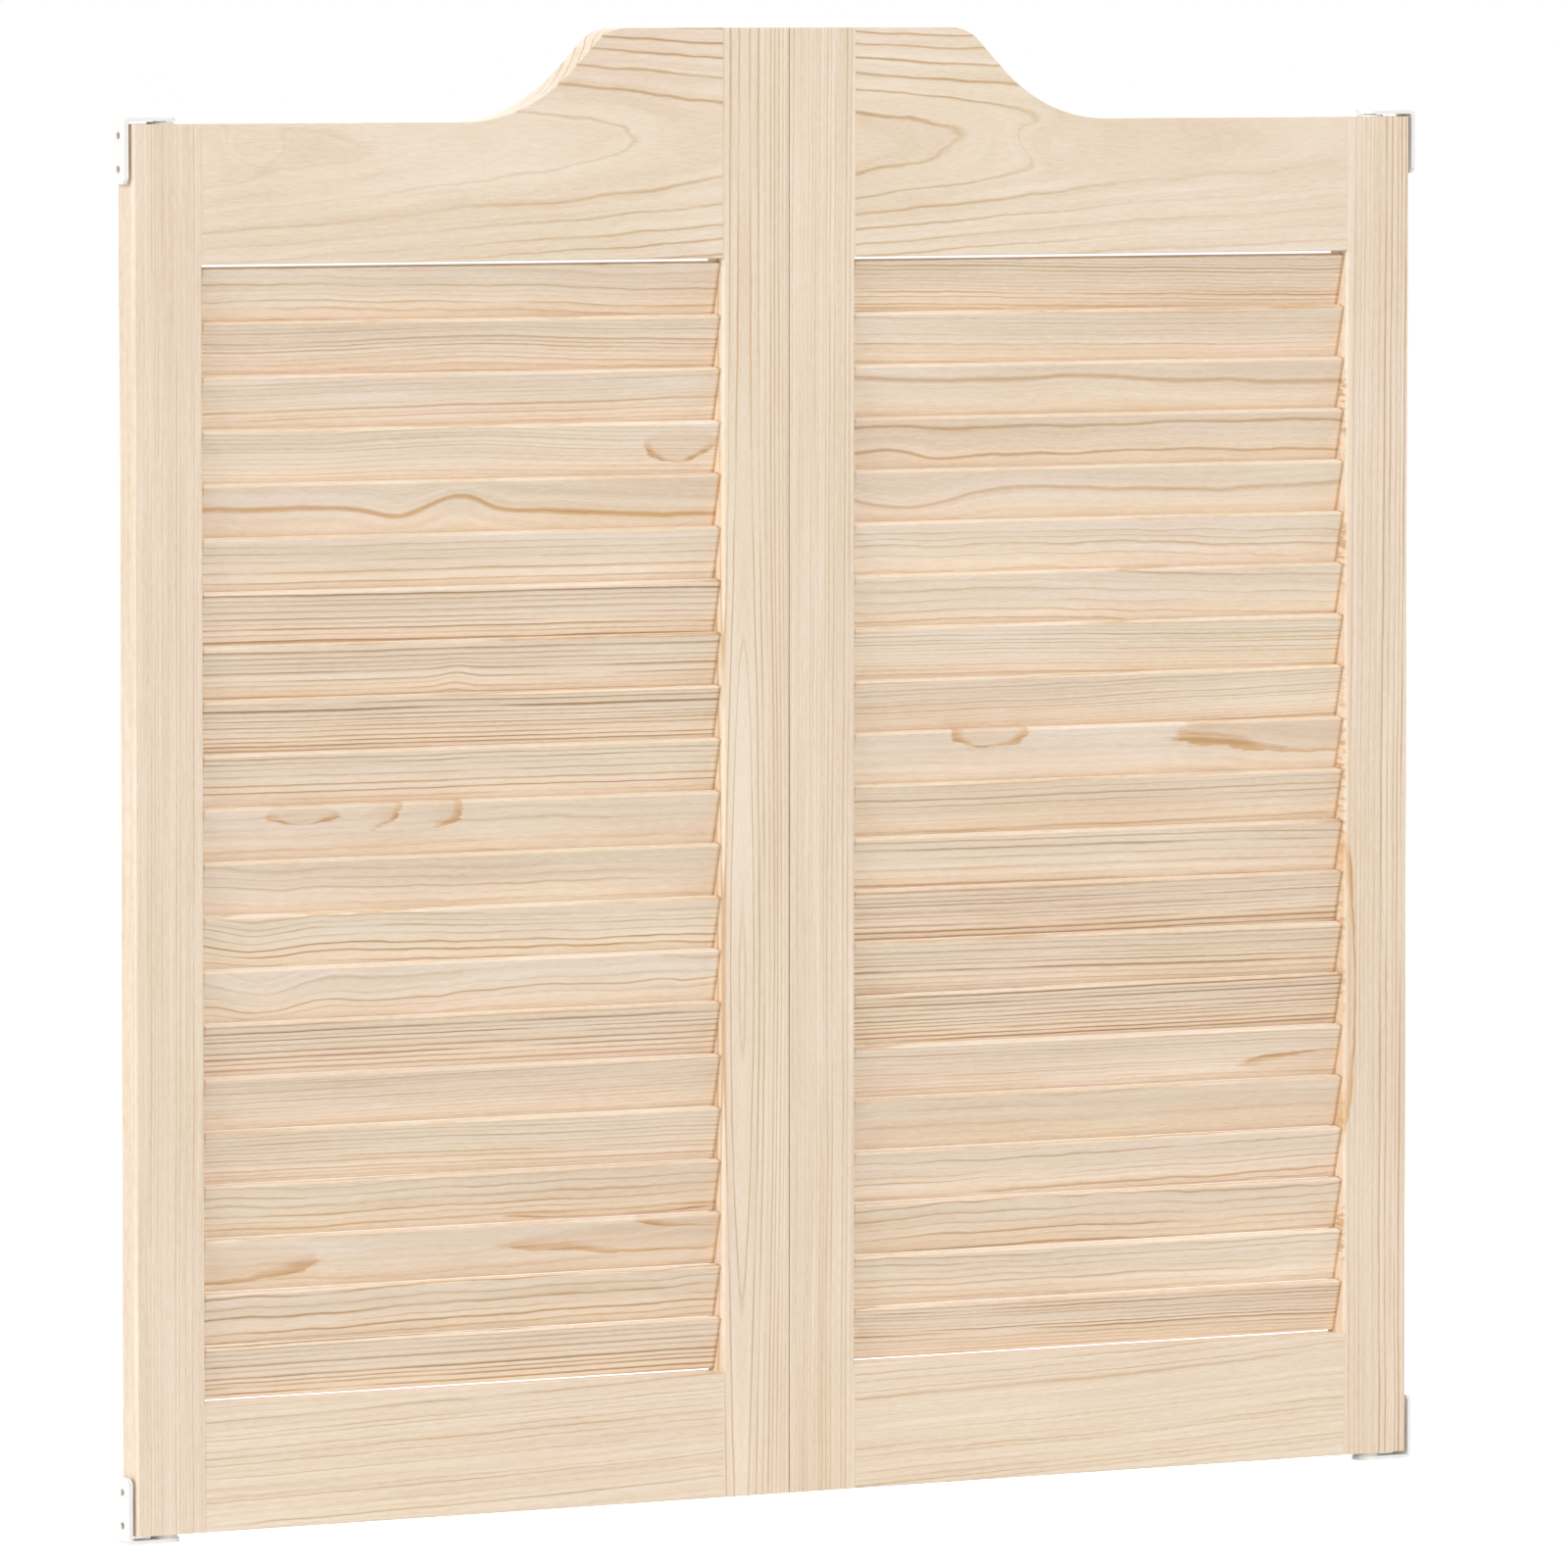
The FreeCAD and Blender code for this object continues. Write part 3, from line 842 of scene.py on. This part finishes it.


# The slats' edges get painted bounce light and a painted highlight in their colour.
pine_slats = pine_material(
    "pine_slats", read("board"), Pale_edge=0.15, Half_length=slat_seen_half,
    Seed=read("grain", 0), Ring=read("grain", 1), Wave=read("grain", 2),
    Heart_across=read("heart", 0), Heart_depth=read("heart", 1), Lean_across=read("heart", 2),
    Lines=read("late", 0), Late_wood=read("late", 1), Tone=read("late", 2),
    Uneven=read("wild", 0), Warmth=read("wild", 1),
    Eye=read("eye_1"), Eye_size=read("eye_size_1"), Eye_2=read("eye_2"), Eye_2_size=read("eye_size_2"),
    Flame=read("flame_1"), Flame_2=read("flame_2"), Flame_3=read("flame_3"),
    Flame_heights=read("flame_heights"))

# Kinds of board: ring, wave, heart across and depth (mm), lean (mm per m), lines, late wood
BOARDS = {
    "fine": (2.5, 2.0, 90, 20, 14, 0.50, 0.60),
    "dense": (3.1, 1.2, 110, 25, 8, 1.00, 0.54),
    "even": (5.2, 1.8, 90, 20, 10, 0.74, 0.36),
    "wavy": (4.6, 4.5, 35, 16, 26, 0.66, 0.44),
    "line": (16.0, 4.5, 60, 10, 20, 0.80, 0.16),
    "plain": (9.0, 5.0, 40, 12, 20, 0.26, 0.4),
}
# Each leaf's slats from the top, counted from 0:
#   boards       the kind of each slat
#   lines        where a "line" slat's one or two bold lines lie: ring, heart across
#   strength     slats whose lines are bolder or fainter than their kind's
#   flames       place along and across from the middle, half length, half height
#   swellings    place along and across, how far the lines bend down there, reach along and
#                across; the heart of these slats lies below them
#   dips         the same, on slats whose heart may lie above or below
#   chance       seed of the random draws
#   first_seed   seed of the top slat's grain
#   deeper       how much deeper the whole leaf is in tone
#   line_warmth  how orange its "line" slats are
LOUVRES = {
    "left": dict(
        boards=("wavy fine fine fine line even dense dense dense even plain wavy wavy wavy dense "
                "fine fine wavy plain wavy dense").split(),
        lines={4: (0.030, -0.0595)},
        strength={0: 0.8, 4: 1.05, 5: 1.5, 6: 1.1, 8: 1.5, 9: 1.4, 10: 0.8, 11: 0.5, 12: 1.35,
                  13: 1.3, 14: 1.15, 18: 1.15, 19: 1.15, 20: 1.2},
        flames={
            3: ((0.151, 0.003, 0.025, 0.0105),),
            10: ((-0.109, 0.012, 0.025, 0.0075), (-0.062, 0.016, -0.020, 0.015),
                 (-0.022, 0.016, -0.023, 0.015)),
            17: ((0.105, -0.012, 0.075, 0.003),),
            18: ((-0.195, 0.001, 0.100, 0.013), (0.194, 0.004, 0.162, 0.010),
                 (0.182, 0.015, 0.064, 0.006)),
        },
        swellings={
            1: ((0.0, 0.0, -0.004, 0.08, 0.02),),
            3: ((0.0, 0.008, -0.004, 0.07, 0.02),),
            4: ((0.000, 0.002, -0.0085, 0.021, 0.020), (-0.045, -0.002, 0.0045, 0.022, 0.020)),
            7: ((-0.003, -0.006, -0.0025, 0.012, 0.010),),
        },
        dips={
            11: ((-0.130, 0.004, 0.0035, 0.028, 0.020),),
            12: ((-0.140, 0.000, 0.0060, 0.030, 0.020),),
            13: ((-0.138, 0.006, 0.0065, 0.026, 0.020), (-0.090, 0.0, -0.003, 0.03, 0.02)),
        },
        chance=11, first_seed=31, deeper=0.0, line_warmth=1.0),
    "right": dict(
        boards=("fine fine line line line wavy wavy fine fine plain even even dense dense dense "
                "fine plain wavy wavy wavy fine").split(),
        lines={2: (0.030, -0.0506), 3: (0.0176, -0.0567), 4: (0.030, -0.0530)},
        strength={0: 1.5, 4: 0.8, 5: 0.8, 6: 0.7, 9: 0.7, 12: 1.2, 14: 1.9, 15: 1.3, 18: 1.4,
                  20: 1.7},
        flames={
            9: ((-0.080, 0.016, 0.028, 0.0115), (0.199, 0.012, 0.145, 0.018)),
            15: ((0.192, -0.0060, 0.089, -0.0078),),
        },
        swellings={
            2: ((-0.020, -0.002, -0.003, 0.05, 0.02),),
            3: ((-0.152, -0.006, -0.0035, 0.022, 0.012), (-0.112, -0.006, 0.0032, 0.018, 0.012)),
            4: ((-0.139, 0.000, 0.0125, 0.045, 0.030),),
        },
        dips={},
        chance=12, first_seed=131, deeper=0.03, line_warmth=0.35),
}
far_off = 9.0              # where an eye or a flame that isn't used lies


def slat_values(leaf):
    """Values of the pine finish for each slat of a leaf, by the attribute that keeps them."""
    def rows(*row):
        return np.tile(np.array(row, float), (slat_count, 1))

    grain, heart, late, wild = (rows(0, 0, 0) for _ in range(4))
    eye = [rows(far_off, 0, 0) for _ in range(2)]
    eye_size = [rows(0.03, 0.01, 0) for _ in range(2)]
    flame = [rows(far_off, 0, 0.01) for _ in range(3)]
    flame_heights = rows(0.005, 0.005, 0.005)
    chance = np.random.default_rng(leaf["chance"])
    for i, kind in enumerate(leaf["boards"]):
        ring, wave, over, deep, lean, lines, share = BOARDS[kind]
        vary = chance.uniform(0.85, 1.15, 5)
        heart_side = -1 if i in leaf["swellings"] else chance.choice((-1, 1))
        lean *= heart_side * chance.uniform(0.2, 1)
        tone = chance.uniform(-0.05, 0.04) - leaf["deeper"]
        grain[i] = (leaf["first_seed"] + i * 3.7, ring * vary[0] * mm, wave * vary[1] * mm)
        heart[i] = (heart_side * over * vary[2] * mm, deep * vary[3] * mm, lean * mm)
        late[i] = (lines * vary[4] * leaf["strength"].get(i, 1.0), share, tone)
        wild[i] = (1.0, 0.1 if kind == "dense" else 0.3, 0)
        if kind == "line":
            late[i, 2] -= 0.04
            wild[i] = (0.0, leaf["line_warmth"], 0)
        if i in leaf["lines"]:
            grain[i, 1], heart[i, 0] = leaf["lines"][i]
        for k, (along, across, half_length, half_height) in enumerate(leaf["flames"].get(i, ())):
            flame[k][i] = (along, across, half_length)
            flame_heights[i, k] = half_height
        # A lift moves the lines towards the heart, so it is turned where the heart lies above.
        bends = leaf["swellings"].get(i, ()) + leaf["dips"].get(i, ())
        for k, (along, across, down, *reach) in enumerate(bends):
            eye[k][i] = (along, across, -heart_side * down)
            eye_size[k][i, :2] = reach
    return {"grain": grain, "heart": heart, "late": late, "wild": wild, "eye_1": eye[0],
            "eye_2": eye[1], "eye_size_1": eye_size[0], "eye_size_2": eye_size[1],
            "flame_1": flame[0], "flame_2": flame[1], "flame_3": flame[2],
            "flame_heights": flame_heights}


louvre = louvre_tree()
sockets = {item.name: item.identifier
           for item in louvre.interface.items_tree if item.in_out == "INPUT"}
for word, leaf in LOUVRES.items():
    cad_slats = ["%s_slat_%02d" % (word, n + 1) for n in range(slat_count)]
    top_slat = middle_of(cad_slats[0])
    pitch = (top_slat[2] - middle_of(cad_slats[-1])[2]) / (slat_count - 1)
    blank = bpy.data.objects.new("louvre_blank", bpy.data.meshes.new("louvre_blank"))
    scene.collection.objects.link(blank)
    modifier = blank.modifiers.new("louvre", "NODES")
    modifier.node_group = louvre
    for name, value in (("Length", slat_reach), ("Thickness", slat_thickness),
                        ("Width", slat_width), ("Edge", slat_edge), ("Count", slat_count),
                        ("Pitch", pitch), ("Tilt", slat_tilt), ("Top slat", top_slat),
                        ("Finish", pine_slats)):
        modifier[sockets[name]] = value
    bpy.context.view_layer.update()
    mesh = bpy.data.meshes.new_from_object(
        blank.evaluated_get(bpy.context.evaluated_depsgraph_get()))
    bpy.data.objects.remove(blank)
    mesh.name = word + "_slats"
    slats = bpy.data.objects.new(word + "_slats", mesh)
    scene.collection.objects.link(slats)
    index = np.zeros(len(mesh.vertices), np.int32)
    mesh.attributes["slat"].data.foreach_get("value", index)
    for name, values in slat_values(leaf).items():
        layer = mesh.attributes.new(name, "FLOAT_VECTOR", "POINT")
        layer.data.foreach_set("vector", values[index].astype(np.float32).ravel())
    rounded_look(mesh, math.radians(40))
    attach(slats, word + "_leaf")
    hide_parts(*cad_slats)


# ---- Jamb brackets, pins and washers -------------------------------------------------------
# The brackets are thin bent steel with a white powder coat.  The pins riveted into them are
# zinc plated, and the bushes and thrust washers that run on them are nylon.

rub_reach = 0.0008         # how near to an edge the coat is rubbed
mottle_size = 6            # times the size of the fine grain


def hardware_finish(name, colours, roughness, grain_size, metallic=0.0, bump=0.0, wear=None):
    """Even finish with a slight mottle.  wear is the bare metal that shows at sharp edges."""
    material = bpy.data.materials.new(name)
    material.use_nodes = True
    tree = material.node_tree
    tree.nodes.clear()
    place = object_place(tree)
    fine = noise(tree, place, grain_size, detail=3.0)[0]
    mottle = noise(tree, place, grain_size / mottle_size, detail=2.0)[0]
    low, high = colours
    shade = mixed(tree, mottle, (*low, 1), (*high, 1))
    rough = ramp(tree, fine, 0.3, 0.7, *roughness)
    if wear:
        bevel = add(tree, "ShaderNodeBevel", {"Radius": rub_reach}, samples=4).outputs[0]
        straight = add(tree, "ShaderNodeNewGeometry").outputs["Normal"]
        turn = add(tree, "ShaderNodeVectorMath", {0: bevel, 1: straight},
                   operation="DOT_PRODUCT").outputs["Value"]
        sharp = maths(tree, "SUBTRACT", 1.0, turn)
        rubbed = smooth_step(tree, maths(tree, "MULTIPLY", sharp, fine), 0.09, 0.16)
        shade = mixed(tree, rubbed, shade, (*wear, 1))
    relief = add(tree, "ShaderNodeBump", {"Strength": bump, "Distance": 0.0001, "Height": fine})
    surface = add(tree, "ShaderNodeBsdfPrincipled",
                  {"Base Color": shade, "Metallic": metallic, "Roughness": rough,
                   "Normal": relief.outputs[0]})
    add(tree, "ShaderNodeOutputMaterial", {"Surface": surface.outputs[0]})
    return material


powder_coat = hardware_finish(
    "white_powder_coat", colours=((0.83, 0.82, 0.79), (0.87, 0.865, 0.845)),
    roughness=(0.34, 0.46), grain_size=900.0, bump=0.2, wear=(0.55, 0.54, 0.52))
zinc = hardware_finish(
    "zinc_plate", colours=((0.50, 0.50, 0.49), (0.64, 0.64, 0.63)),
    roughness=(0.32, 0.50), grain_size=260.0, metallic=0.85, bump=0.15)
nylon = hardware_finish(
    "nylon", colours=((0.80, 0.78, 0.72), (0.88, 0.87, 0.83)),
    roughness=(0.38, 0.50), grain_size=300.0)

for node in nodes:
    for ending, finish, slot in (("jamb_bracket", powder_coat, "painted_steel"),
                                 ("pivot_pins", zinc, "zinc_steel"),
                                 ("pivot_bushes", nylon, "nylon"),
                                 ("thrust_washers", nylon, "nylon")):
        if node.endswith(ending):
            dress(node, finish)
